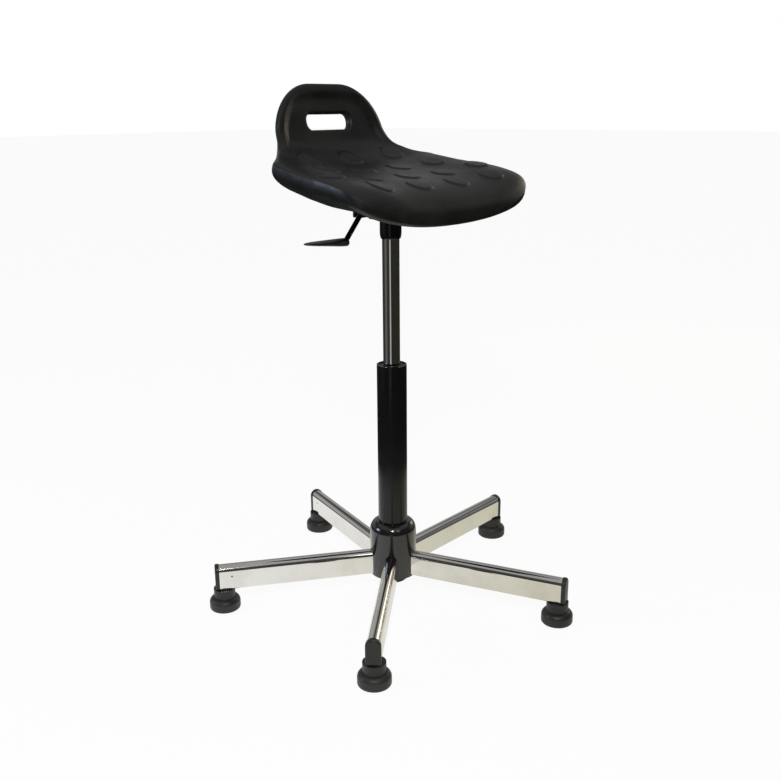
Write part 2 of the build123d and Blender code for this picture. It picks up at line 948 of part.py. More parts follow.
def seat_line_point(place):
    """Point and heading on the seat's centre line: (forward, up, rising angle)."""
    if place <= pan_length:
        forward = pan_front - place
        nearness = max(1 - place / droop_length, 0)
        return forward, -droop * nearness ** 2, 0
    if place <= pan_length + bend_length:
        turn = (place - pan_length) / bend_radius
        forward = -pan_rear - bend_radius * math.sin(turn)
        return forward, bend_radius * (1 - math.cos(turn)), turn
    turn = math.radians(bend_angle)
    beyond = place - pan_length - bend_length
    forward = -pan_rear - bend_radius * math.sin(turn) - beyond * math.cos(turn)
    rise = bend_radius * (1 - math.cos(turn)) + beyond * math.sin(turn)
    return forward, rise, turn


def seat_plane(place):
    """Plane square to the seat's centre line: x runs across, y into the cushion."""
    forward, rise, turn = seat_line_point(place)
    tilt = math.radians(seat_tilt)
    reach = forward * math.cos(tilt) + rise * math.sin(tilt)
    height = seat_height - forward * math.sin(tilt) + rise * math.cos(tilt)
    slope = turn + tilt
    into = Vector(0, math.sin(slope), -math.cos(slope))
    normal = Vector(1, 0, 0).cross(into)
    return Plane((0, -reach, height), x_dir=(1, 0, 0), z_dir=normal)


def rounded_share(place, length, power):
    """How far a rounded end has filled out at a distance from its tip."""
    if place >= length:
        return 1
    return max(1 - (1 - place / length) ** power, 0) ** (1 / power)


def seat_section(place):
    """Half width, thickness, offset and dish of the seat at a place on its line."""
    back_start = pan_length + bend_length
    thin_start = pan_length + bend_length * back_thickness_share
    half = blend_between(
        [0, pan_length / 2, pan_length],
        [front_half_width, middle_half_width, rear_half_width],
        place,
    )
    if place > pan_length:
        share = min((place - pan_length) / bend_length, 1)
        ease = share * share * (3 - 2 * share)
        half = rear_half_width + (back_half_width - rear_half_width) * ease
        half -= bend_narrowing * (4 * share * (1 - share)) ** 2
    thickness = blend_between(
        [0, pan_length * middle_thickness_share, pan_length, thin_start],
        [front_thickness, middle_thickness, rear_thickness, back_thickness],
        place,
    )
    dish = blend_between(
        [0, pan_length / 2, pan_length, pan_length + bend_length / 2, back_start],
        [front_dish, middle_dish, rear_dish, bend_dish, back_dish],
        place,
    )
    offset = 0
    nose = rounded_share(place, nose_length, nose_power)
    if nose < 1:
        half *= nose_width_share + (1 - nose_width_share) * nose
        thin = thickness * max(nose ** nose_fullness_share, nose_thickness_share)
        offset = (thickness - thin) * nose_sink_share
        thickness = thin
    crown = rounded_share(seat_line - place, crown_length, crown_power)
    if crown < 1:
        half *= crown_width_share + (1 - crown_width_share) * crown
        thin = thickness * max(crown ** crown_fullness_share, crown_thickness_share)
        offset = (thickness - thin) * crown_sink_share
        thickness = thin
    return half, thickness, offset, dish


def section_points(place, side):
    """Points of one face of the cushion's section, from +X to -X; side is -1 above, 1 below."""
    half, thickness, offset, dish = seat_section(place)
    start = pan_length * rounding_start_share
    end = pan_length + bend_length * rounding_end_share
    ease = blend_between([start, end], [0, 1], max(place, start))
    widest = 1 / 2 + (back_widest_share - 1 / 2) * ease
    edge_power = edge_power_share
    face_power = face_power_share
    if side > 0:
        edge_power += (back_edge_power_share - edge_power_share) * ease
        face_power += (back_face_power_share - face_power_share) * ease
    points = []
    for i in range(section_points_count + 1):
        turn = math.pi * i / section_points_count
        across = half * math.copysign(abs(math.cos(turn)) ** edge_power, math.cos(turn))
        swell = max(math.sin(turn), 0) ** face_power
        level = widest * (1 - swell) if side < 0 else widest + (1 - widest) * swell
        lift = dish * (across / dish_reference) ** 2
        points.append((across, level * thickness + offset - lift))
    return points


def seat_places():
    """Places along the seat's line where its sections stand, closer at the two ends."""
    places = [
        nose_length * (1 - math.cos(math.pi / 2 * i / nose_sections))
        for i in range(nose_sections)
    ]
    flat = pan_length - nose_length
    places += [nose_length + flat * i / pan_sections for i in range(pan_sections)]
    places += [pan_length + bend_length * i / bend_sections for i in range(bend_sections)]
    crown_start = seat_line - crown_length
    places += [
        crown_start + crown_length * math.sin(math.pi / 2 * i / crown_sections)
        for i in range(crown_sections + 1)
    ]
    return places


def seat():
    """Moulded seat: saddle pan with a turned-down nose and a low back with a hand hole."""
    with BuildPart() as piece:
        for place in seat_places():
            with BuildSketch(seat_plane(place)):
                with BuildLine():
                    for side in (-1, 1):
                        Spline(
                            *section_points(place, side),
                            tangents=[(0, side), (0, -side)],
                            tangent_scalars=[side_fullness_share, side_fullness_share],
                        )
                make_face()
        loft()
        hole_line = seat_plane(hole_station)
        hole_start = hole_line.origin - hole_line.y_dir * back_thickness
        with BuildSketch(Plane(hole_start, x_dir=(1, 0, 0), z_dir=hole_line.y_dir)):
            RectangleRounded(hole_width, hole_height, hole_corner)
        extrude(amount=3 * back_thickness, mode=Mode.SUBTRACT)
        with BuildSketch(Plane.XY.offset(plate_top)):
            with Locations((0, plate_back_shift)):
                RectangleRounded(
                    plate_width + 2 * pocket_gap,
                    plate_depth + 2 * pocket_gap,
                    plate_corner + pocket_gap,
                )
        extrude(amount=-seat_height, mode=Mode.SUBTRACT)
        with BuildSketch(Plane.XY.offset(lever_tip_height + lever_relief_rise)):
            with Locations((-lever_relief_reach / 2, 0)):
                SlotOverall(lever_relief_reach, lever_relief_width)
        extrude(amount=-seat_height, mode=Mode.SUBTRACT)
        with BuildSketch(Plane.XY.offset(board_bottom - fixed_gap)):
            with Locations((0, plate_back_shift)):
                RectangleRounded(
                    board_width + 2 * fixed_gap,
                    board_depth + 2 * fixed_gap,
                    board_corner + fixed_gap,
                )
        extrude(amount=board_thickness + 2 * fixed_gap, mode=Mode.SUBTRACT)
        with BuildSketch(Plane.XY.offset(board_bottom + board_thickness)):
            with Locations(*bolt_places()):
                Circle(nut_flange_diameter / 2 + fixed_gap)
        extrude(amount=nut_flange_thickness + fixed_gap, mode=Mode.SUBTRACT)
    return piece


def main():
    os.makedirs("parts", exist_ok=True)
    save(hub(), "hub")
    save(hub_cover(), "hub_cover")
    save(column_tube(), "column_tube")
    save(guide_bush(), "guide_bush")
    for i in range(leg_count):
        spoke = spoke_plane(360 / leg_count * i)
        save(leg(spoke), f"leg_{i + 1}")
        save(leg_plug(spoke), f"leg_plug_{i + 1}")
        save(glide_foot(spoke), f"glide_foot_{i + 1}")
        save(glide_stem(spoke), f"glide_stem_{i + 1}")
        save(glide_ring(spoke), f"glide_ring_{i + 1}")
    neck = rod_neck_diameter / 2
    race = race_diameter / 2
    save(ring(neck + face_gap, race, bearing_floor, bearing_floor + race_thickness), "lower_race")
    save(bearing_balls(), "bearing_balls")
    save(ball_cage(), "ball_cage")
    save(ring(neck + fixed_gap, race, upper_race_bottom, rod_shoulder), "upper_race")
    save(ring(rod_radius + fixed_gap, damper_diameter / 2, rod_shoulder, damper_top), "damper_ring")
    save(piston_rod(), "piston_rod")
    save(rod_clip(), "rod_clip")
    save(piston(), "piston")
    save(piston_ring(), "piston_ring")
    save(piston_nut(), "piston_nut")
    save(gas_cylinder(), "gas_cylinder")
    save(rod_guide(), "rod_guide")
    save(rod_seal(), "rod_seal")
    save(pressure_tube(), "pressure_tube")
    save(valve_body(), "valve_body")
    save(release_pin(), "release_pin")
    save(seat_socket(), "seat_socket")
    save(mounting_plate(), "mounting_plate")
    save(plate_bolts(), "plate_bolts")
    save(plate_washers(), "plate_washers")
    save(tee_nuts(), "tee_nuts")
    save(seat_board(), "seat_board")
    save(pivot_pin(), "pivot_pin")
    save(pivot_clip(), "pivot_clip")
    save(lever_rod(), "lever_rod")
    save(lever_paddle(), "lever_paddle")
    save(seat(), "seat")


main()
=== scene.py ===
import math

import bmesh
import bpy
from mathutils import Matrix, Vector


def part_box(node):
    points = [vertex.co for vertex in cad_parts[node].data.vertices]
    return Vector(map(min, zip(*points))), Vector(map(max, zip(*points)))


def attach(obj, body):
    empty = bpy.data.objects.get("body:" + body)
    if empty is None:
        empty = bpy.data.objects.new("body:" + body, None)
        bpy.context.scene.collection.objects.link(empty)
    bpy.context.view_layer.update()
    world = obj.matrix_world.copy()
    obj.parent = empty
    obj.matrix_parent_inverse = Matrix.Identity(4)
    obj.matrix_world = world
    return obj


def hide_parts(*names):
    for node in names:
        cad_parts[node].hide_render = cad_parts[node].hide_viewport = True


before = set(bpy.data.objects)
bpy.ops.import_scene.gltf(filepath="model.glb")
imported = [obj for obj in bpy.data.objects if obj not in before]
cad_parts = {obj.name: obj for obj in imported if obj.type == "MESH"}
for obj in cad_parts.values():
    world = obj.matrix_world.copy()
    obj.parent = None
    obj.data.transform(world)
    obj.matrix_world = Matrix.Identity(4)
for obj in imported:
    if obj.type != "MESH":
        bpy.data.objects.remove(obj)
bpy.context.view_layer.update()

bl_info = {
    "name": "Clinic Stool",
    "version": (1, 0, 0),
    "blender": (4, 5, 0),
    "location": "View3D > Sidebar > Clinic Stool",
    "description": "Dresses a height-adjustable clinic stool and sets up its studio",
    "category": "Object",
}

MM = 0.001


# Settings

class StoolSeatSettings(bpy.types.PropertyGroup):
    """Form of the moulded seat, in metres."""

    pad_diameter: bpy.props.FloatProperty(
        name="Pad Diameter", description="Diameter of the round grip pads on the seat",
        default=0.0430, unit="LENGTH", subtype="DISTANCE")
    pad_height: bpy.props.FloatProperty(
        name="Pad Height", description="How far the grip pads stand out",
        default=0.0020, unit="LENGTH", subtype="DISTANCE")
    rim_radius: bpy.props.FloatProperty(
        name="Hand Hole Rim", description="Rounding at the rim of the hand hole",
        default=0.0060, unit="LENGTH", subtype="DISTANCE")
    grain_size: bpy.props.FloatProperty(
        name="Skin Grain", description="Size of the grain in the moulded skin",
        default=0.0011, unit="LENGTH", subtype="DISTANCE")


class StoolColourSettings(bpy.types.PropertyGroup):
    """Colours of the finishes."""

    seat_skin: bpy.props.FloatVectorProperty(
        name="Seat Skin", description="Colour of the moulded seat", subtype="COLOR",
        size=4, default=(0.0112, 0.0119, 0.0116, 1.0), min=0.0, max=1.0)
    chrome: bpy.props.FloatVectorProperty(
        name="Chrome", description="Colour of the chromed legs and cylinder", subtype="COLOR",
        size=4, default=(0.80, 0.785, 0.755, 1.0), min=0.0, max=1.0)
    paint: bpy.props.FloatVectorProperty(
        name="Black Paint", description="Colour of the column, hub and plate", subtype="COLOR",
        size=4, default=(0.0060, 0.0062, 0.0068, 1.0), min=0.0, max=1.0)
    plastic: bpy.props.FloatVectorProperty(
        name="Black Plastic", description="Colour of the glides, end plugs and paddle",
        subtype="COLOR", size=4, default=(0.0200, 0.0202, 0.0210, 1.0), min=0.0, max=1.0)


class StoolSkirtSettings(bpy.types.PropertyGroup):
    """Skirt round the hub."""

    clearance: bpy.props.FloatProperty(
        name="Leg Clearance", description="Gap between the skirt and each leg",
        default=0.0002, min=0.0001, max=0.001, precision=4, subtype="DISTANCE", unit="LENGTH")


class StoolStudioSettings(bpy.types.PropertyGroup):
    """Light and background."""

    background: bpy.props.FloatProperty(
        name="Background", description="Brightness of the background, where 1 is white",
        default=1.0, min=0.0, max=1.0)
    key_power: bpy.props.FloatProperty(
        name="Window Light", description="Power of the large side light in watts",
        default=15.0, min=0.0)
    fill_power: bpy.props.FloatProperty(
        name="Front Light", description="Power of the soft front light in watts",
        default=4.5, min=0.0)


# Shader expressions

class Wire:
    """An output socket whose arithmetic adds Math nodes."""

    def __init__(self, finish, socket):
        self.finish = finish
        self.socket = socket

    def math(self, operation, first, second=0.0):
        return self.finish.node(
            "ShaderNodeMath", {"operation": operation}, {0: first, 1: second})

    def __add__(self, other):
        return self.math("ADD", self, other)

    def __sub__(self, other):
        return self.math("SUBTRACT", self, other)

    def __mul__(self, other):
        return self.math("MULTIPLY", self, other)

    def __rsub__(self, other):
        return self.math("SUBTRACT", other, self)

    def sine(self):
        return self.math("SINE", self)

    def distance(self, other):
        """How far the value is from another."""
        return self.math("ABSOLUTE", self - other)

    __radd__ = __add__
    __rmul__ = __mul__


class Finish:
    """A node tree that is filled by expressions."""

    def __init__(self, tree):
        self.tree = tree
        self.tree.nodes.clear()

    def node(self, kind, settings=None, values=None, output=0):
        """Add a node, set it, feed its sockets and give back one output."""
        made = self.tree.nodes.new(kind)
        for key, value in (settings or {}).items():
            setattr(made, key, value)
        for key, value in (values or {}).items():
            if isinstance(value, Wire):
                self.tree.links.new(value.socket, made.inputs[key])
            else:
                made.inputs[key].default_value = value
        return Wire(self, made.outputs[output]) if made.outputs else None

    def place(self):
        """Position on the piece, in metres."""
        return self.node("ShaderNodeTexCoord", output="Object")

    def stretched(self, scale):
        """Position scaled by a different factor along each axis."""
        return self.node("ShaderNodeMapping", values={"Vector": self.place(), "Scale": scale})

    def noise(self, scale, detail=2.0, rough=0.5, place=None):
        """Cloudy value around one half."""
        return self.node(
            "ShaderNodeTexNoise",
            values={"Vector": place or self.place(), "Scale": scale, "Detail": detail,
                    "Roughness": rough})

    def cells(self, scale):
        """Distance to the nearest of many scattered points."""
        return self.node(
            "ShaderNodeTexVoronoi", values={"Vector": self.place(), "Scale": scale})

    def axis(self, vector, name):
        """One component of a vector."""
        return self.node("ShaderNodeSeparateXYZ", values={0: vector}, output=name)

    def step(self, value, low, high, start=0.0, end=1.0):
        """Smooth step of a value between two levels."""
        return self.node(
            "ShaderNodeMapRange", {"interpolation_type": "SMOOTHSTEP"},
            {"Value": value, "From Min": low, "From Max": high, "To Min": start, "To Max": end})

    def tint(self, share, first, second):
        """Colour between two colours."""
        return self.node(
            "ShaderNodeMix", {"data_type": "RGBA"}, {0: share, 6: first, 7: second}, output=2)

    def bump(self, height, distance, strength):
        """Normal from a height."""
        return self.node(
            "ShaderNodeBump",
            values={"Height": height, "Distance": distance, "Strength": strength})

    def surface(self, **values):
        """Principled surface joined to the material's output."""
        named = {key.replace("_", " ").title().replace("Ior", "IOR"): value
                 for key, value in values.items()}
        shader = self.node("ShaderNodeBsdfPrincipled", values=named)
        self.node("ShaderNodeOutputMaterial", values={"Surface": shader})


def finish_named(name):
    """A new material and the tree to fill."""
    material = bpy.data.materials.new(name)
    material.use_nodes = True
    return material, Finish(material.node_tree)


def shade(colour, factor):
    """A colour made lighter or darker."""
    return tuple(channel * factor for channel in colour[:3]) + (1.0,)


# Finishes

PLY_TURNS = 4200.0
DUST = (0.05, 0.05, 0.048, 1.0)
RUBBER_DARK = (0.012, 0.012, 0.012, 1.0)
RUBBER_BLOOM = (0.030, 0.029, 0.028, 1.0)
BIRCH_PALE = (0.62, 0.44, 0.25, 1.0)
BIRCH_DARK = (0.36, 0.23, 0.12, 1.0)


def seat_skin_finish():
    """Dense moulded skin: fine grain, slow shine changes and lighter rubbed spots scattered at
    random.
    """
    settings = bpy.context.scene.stool_seat
    colour = tuple(bpy.context.scene.stool_colours.seat_skin)
    material, skin = finish_named("seat_skin")
    clouds = skin.noise(16.0, 4.0, 0.55)
    scuffs = skin.noise(55.0, 5.0, 0.65)
    grain = skin.cells(1 / settings.grain_size)
    flow = skin.noise(0.28 / settings.grain_size, 3.0, 0.6)
    share = skin.step(clouds * 0.6 + scuffs * 0.4, 0.38, 0.64)
    skin.surface(
        base_color=skin.tint(share, shade(colour, 0.85), shade(colour, 1.3)),
        roughness=skin.step(clouds * 0.5 + scuffs * 0.5, 0.35, 0.65, 0.32, 0.43),
        specular_ior_level=0.36,
        normal=skin.bump(grain * 0.6 + flow * 0.8, 0.00022, 0.55))
    return material


def chrome_finish(name, along=""):
    """Polished chrome with light wiping marks and faint drawn lines, along an axis if named."""
    colour = tuple(bpy.context.scene.stool_colours.chrome)
    material, chrome = finish_named(name)
    stretch = tuple(14.0 if axis == along else 900.0 for axis in "XYZ")
    lines = chrome.noise(1.0, 3.0, 0.6, chrome.stretched(stretch))
    wiped = chrome.noise(22.0, 4.0, 0.6)
    share = chrome.step(wiped, 0.4, 0.7)
    chrome.surface(
        base_color=chrome.tint(share, shade(colour, 1.02), shade(colour, 0.93)),
        metallic=1.0,
        roughness=chrome.step(wiped * 0.6 + lines * 0.4, 0.35, 0.7, 0.05, 0.13),
        normal=chrome.bump(lines, 0.00002, 0.25))
    return material


def black_paint_finish():
    """Thick glossy paint with a slight orange-peel surface and specks of dust."""
    colour = tuple(bpy.context.scene.stool_colours.paint)
    material, paint = finish_named("black_paint")
    peel = paint.noise(420.0, 2.0, 0.5)
    clouds = paint.noise(18.0, 3.0, 0.5)
    dust = paint.step(paint.cells(260.0), 0.10, 0.03)
    paint.surface(
        base_color=paint.tint(dust * paint.step(clouds, 0.5, 0.7), colour, DUST),
        roughness=paint.step(clouds, 0.35, 0.65, 0.14, 0.22),
        specular_ior_level=0.3,
        coat_weight=0.12,
        coat_roughness=0.08,
        normal=paint.bump(peel, 0.00005, 0.35))
    return material


def moulded_plastic_finish(name, factor, low, high, coat):
    """Moulded plastic: fine spark texture and a slightly uneven shine."""
    colour = tuple(bpy.context.scene.stool_colours.plastic)
    material, plastic = finish_named(name)
    spark = plastic.noise(1500.0, 2.0, 0.6)
    clouds = plastic.noise(30.0, 4.0, 0.55)
    share = plastic.step(clouds, 0.4, 0.65)
    plastic.surface(
        base_color=plastic.tint(share, shade(colour, 0.8 * factor), shade(colour, 1.35 * factor)),
        roughness=plastic.step(clouds, 0.35, 0.65, low, high),
        coat_weight=coat,
        coat_roughness=0.1,
        normal=plastic.bump(spark, 0.00006, 0.5))
    return material


def bare_steel_finish(name, colour, low, high):
    """Bare turned or zinc-plated steel with turning marks."""
    material, steel = finish_named(name)
    marks = steel.noise(1.0, 2.0, 0.5, steel.stretched((60.0, 60.0, 2600.0)))
    clouds = steel.noise(90.0, 4.0, 0.6)
    share = steel.step(clouds, 0.35, 0.7)
    steel.surface(
        base_color=steel.tint(share, shade(colour, 1.05), shade(colour, 0.8)),
        metallic=1.0,
        roughness=steel.step(clouds * 0.7 + marks * 0.3, 0.35, 0.65, low, high),
        normal=steel.bump(marks, 0.00002, 0.4))
    return material


def rubber_finish():
    """Matte rubber with a faint bloom."""
    material, rubber = finish_named("black_rubber")
    bloom = rubber.noise(120.0, 4.0, 0.6)
    rubber.surface(
        base_color=rubber.tint(rubber.step(bloom, 0.4, 0.7), RUBBER_DARK, RUBBER_BLOOM),
        roughness=rubber.step(bloom, 0.3, 0.7, 0.6, 0.8),
        normal=rubber.bump(bloom, 0.0001, 0.4))
    return material


def plywood_finish():
    """Birch plywood: long grain on the faces and thin plies on the edges."""
    material, wood = finish_named("plywood")
    grain = wood.noise(1.0, 4.0, 0.6, wood.stretched((26.0, 420.0, 60.0)))
    plies = wood.step((wood.axis(wood.place(), "Z") * PLY_TURNS).sine(), -0.2, 0.2)
    share = grain * 0.75 + plies * 0.25
    wood.surface(
        base_color=wood.tint(share, BIRCH_PALE, BIRCH_DARK),
        roughness=wood.step(grain, 0.3, 0.7, 0.5, 0.68),
        normal=wood.bump(grain, 0.0002, 0.5))
    return material


def dress(material, *names):
    """Give CAD nodes, named whole or by their start, one material."""
    dressed = 0
    for node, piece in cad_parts.items():
        if any(node == name or node.startswith(name + "_") and node[len(name) + 1:].isdigit()
               for name in names):
            piece.data.materials.clear()
            piece.data.materials.append(material)
            dressed += 1
    if not dressed:
        raise RuntimeError("no node is named " + ", ".join(names))


# Seat form, in millimetres along a centre line from the nose over the pan and up the back

SEAT_HEIGHT = 725.0
SEAT_TILT = math.radians(7.6)
PAN_FRONT = 147.5
PAN_REAR = 61.0
PAN = PAN_FRONT + PAN_REAR
BEND_RADIUS = 71.5
BEND_TURN = math.radians(72.0)
BEND = BEND_RADIUS * BEND_TURN
BACK = 70.5
LINE = PAN + BEND + BACK
NOSE = 59.0
CROWN = 86.0
HALF_WIDTH_STOPS = ((0.0, 207.5), (PAN / 2, 206.5), (PAN, 186.5))
THICKNESS_STOPS = ((0.0, 47.5), (0.6 * PAN, 56.0), (PAN, 53.5), (PAN + 0.8 * BEND, 25.0))
DISH_STOPS = ((0.0, 17.5), (PAN / 2, 21.5), (PAN, 28.0), (PAN + BEND / 2, 27.0),
              (PAN + BEND, 10.5))
UNDER_DISH_STOPS = ((0.0, 17.0), (PAN, 21.5), (PAN + BEND, 10.5))
DISH_REACH = 190.0
WIDEST_LEVEL = 0.42
TURN_START = 0.75 * PAN
TURN_END = PAN + 0.5 * BEND
HOLE_PLACE = PAN + BEND + 10.8
HOLE_HALF = (49.0, 12.5)
HOLE_CORNER = 11.0
HOLE_MARGIN = 7.0
PADS = ((-128.0, 52.0), (-38.0, 55.0), (50.0, 55.0), (138.0, 54.0),
        (-176.0, 103.0), (-92.0, 104.0), (-4.0, 107.0), (80.0, 106.0), (166.0, 105.0),
        (-122.0, 166.0), (-38.0, 170.0), (48.0, 170.0), (126.0, 166.0),
        (-97.0, 232.0), (0.0, 236.0), (97.0, 236.0))
PAD_PROFILE = ((0.5, 0.14), (1.2, 0.42), (2.0, 0.7), (3.0, 0.9), (4.4, 0.99), (7.0, 1.02),
               (12.0, 1.05), (17.0, 1.06))
PAD_CROWN = 1.1
PAD_MARGIN = 0.8
SCOOP_DEPTH = 7.5
SCOOP_RIM = 9.0
SCOOP_RUN = 17.0
RELIEF_HALF = 9.0
RELIEF_REACH = 84.0
RELIEF_TOP = 680.3
RELIEF_MARGIN = 3.0
RELIEF_RUN = 5.0
POCKET_GAP = 3.0
POCKET_CORNER = 17.0
POCKET_EDGE = 2.5
POCKET_HEADROOM = 0.3


def between(stops, place):
    """Value at a place, from (place, value) stops."""
    for (start, first), (end, second) in zip(stops, stops[1:]):
        if place <= end:
            return first + (second - first) * max((place - start) / (end - start), 0.0)
    return stops[-1][1]


def rounding(place, length, power):
    """How far a rounded end has filled out."""
    if place >= length:
        return 1.0
    return max(1.0 - (1.0 - place / length) ** power, 0.0) ** (1.0 / power)


def line_plane(place):
    """Point on the seat's centre line and the direction into the cushion there."""
    if place <= PAN:
        forward = PAN_FRONT - place
        rise = -14.5 * max(1.0 - place / 90.0, 0.0) ** 2
        turn = 0.0
    elif place <= PAN + BEND:
        turn = (place - PAN) / BEND_RADIUS
        forward = -PAN_REAR - BEND_RADIUS * math.sin(turn)
        rise = BEND_RADIUS * (1.0 - math.cos(turn))
    else:
        turn = BEND_TURN
        beyond = place - PAN - BEND
        forward = -PAN_REAR - BEND_RADIUS * math.sin(turn) - beyond * math.cos(turn)
        rise = BEND_RADIUS * (1.0 - math.cos(turn)) + beyond * math.sin(turn)
    reach = forward * math.cos(SEAT_TILT) + rise * math.sin(SEAT_TILT)
    height = SEAT_HEIGHT - forward * math.sin(SEAT_TILT) + rise * math.cos(SEAT_TILT)
    slope = turn + SEAT_TILT
    return Vector((0.0, -reach, height)), Vector((0.0, math.sin(slope), -math.cos(slope)))


def eased(share):
    """Smooth step from 0 to 1."""
    share = min(max(share, 0.0), 1.0)
    return share * share * (3.0 - 2.0 * share)


def section(place):
    """Half width, thickness, sink and dish of the seat at a place."""
    if place <= PAN:
        half = between(HALF_WIDTH_STOPS, place)
    else:
        share = min((place - PAN) / BEND, 1.0)
        half = 186.5 - 64.5 * eased(share) - 9.5 * (4.0 * share * (1.0 - share)) ** 2
    thickness = between(THICKNESS_STOPS, place)
    dish = between(DISH_STOPS, place)
    sink = 0.0
    nose = rounding(place, NOSE, 2.8)
    if nose < 1.0:
        half *= 0.45 + 0.55 * nose
        thin = thickness * max(nose ** 0.7, 0.14)
        sink = (thickness - thin) * 0.6
        thickness = thin
    crown = rounding(LINE - place, CROWN, 1.9)
    if crown < 1.0:
        half *= 0.28 + 0.72 * crown
        thin = thickness * max(crown ** 0.5, 0.16)
        sink = (thickness - thin) * 0.5
        thickness = thin
    return half, thickness, sink, dish


def scoop(across, place, half):
    """Depth of the hollow in the back, inside its rolled rim."""
    side_room = max(half - abs(across), 0.01)
    top_room = max(LINE - place, 0.01)
    room = (side_room ** -2 + top_room ** -2) ** -0.5
    start = PAN + 0.35 * BEND
    return (SCOOP_DEPTH * eased((room - SCOOP_RIM) / SCOOP_RUN)
            * eased((place - start) / (0.5 * BEND)))


def edge_lift(dish, across, turned):
    """Rise of the sitter's side away from the middle, flatter over the pan than up the back."""
    share = abs(across) / DISH_REACH
    return dish * ((1.0 - turned) * share ** 3.4 + turned * share ** 2)


def skin_point(across, place, side, out=0.0):
    """Point on the seat's skin, on the sitter's side (-1) or underneath (1)."""
    half, thickness, sink, dish = section(place)
    share = min(abs(across) / half, 1.0)
    turned = min(max((place - TURN_START) / (TURN_END - TURN_START), 0.0), 1.0)
    if side < 0:
        shoulder = max((share - 0.65) / 0.35, 0.0)
        pan = 1.0 - (1.0 - shoulder ** 2.2) ** 0.8
        back = 1.0 - (1.0 - share ** 4) ** 0.38
        level = WIDEST_LEVEL * (pan + (back - pan) * turned)
        depth = (level * thickness + sink - edge_lift(dish, across, turned)
                 + scoop(across, place, half))
    else:
        swell = max(1.0 - share ** (2.0 / (0.5 + 0.12 * turned)), 0.0) ** (0.26 + 0.12 * turned)
        rim = WIDEST_LEVEL * thickness + sink - edge_lift(dish, half, turned)
        middle = thickness + sink - between(UNDER_DISH_STOPS, place) * (across / DISH_REACH) ** 2
        depth = rim + (middle - rim) * swell
    origin, into = line_plane(place)
    point = origin + Vector((across, 0.0, 0.0)) + into * (depth + side * out)
    if side > 0 and point.z < RELIEF_TOP:
        beyond = max(-across - RELIEF_REACH + RELIEF_HALF, 0.0)
        inside = RELIEF_HALF + RELIEF_MARGIN - math.hypot(beyond, point.y)
        if across < 0.0 and inside > 0.0:
            point.z += (RELIEF_TOP - point.z) * eased(inside / RELIEF_RUN)
    return point


def rounded_corner_point(share, half, corner):
    """Point at a share of one quarter of a rounded rectangle, from its +x side to its +y side."""
    flat_x = half[0] - corner
    flat_y = half[1] - corner
    arc = corner * math.pi / 2
    run = share * (flat_x + flat_y + arc)
    if run <= flat_y:
        return half[0], run
    if run <= flat_y + arc:
        turn = (run - flat_y) / corner
        return flat_x + corner * math.cos(turn), flat_y + corner * math.sin(turn)
    return flat_x - (run - flat_y - arc), half[1]


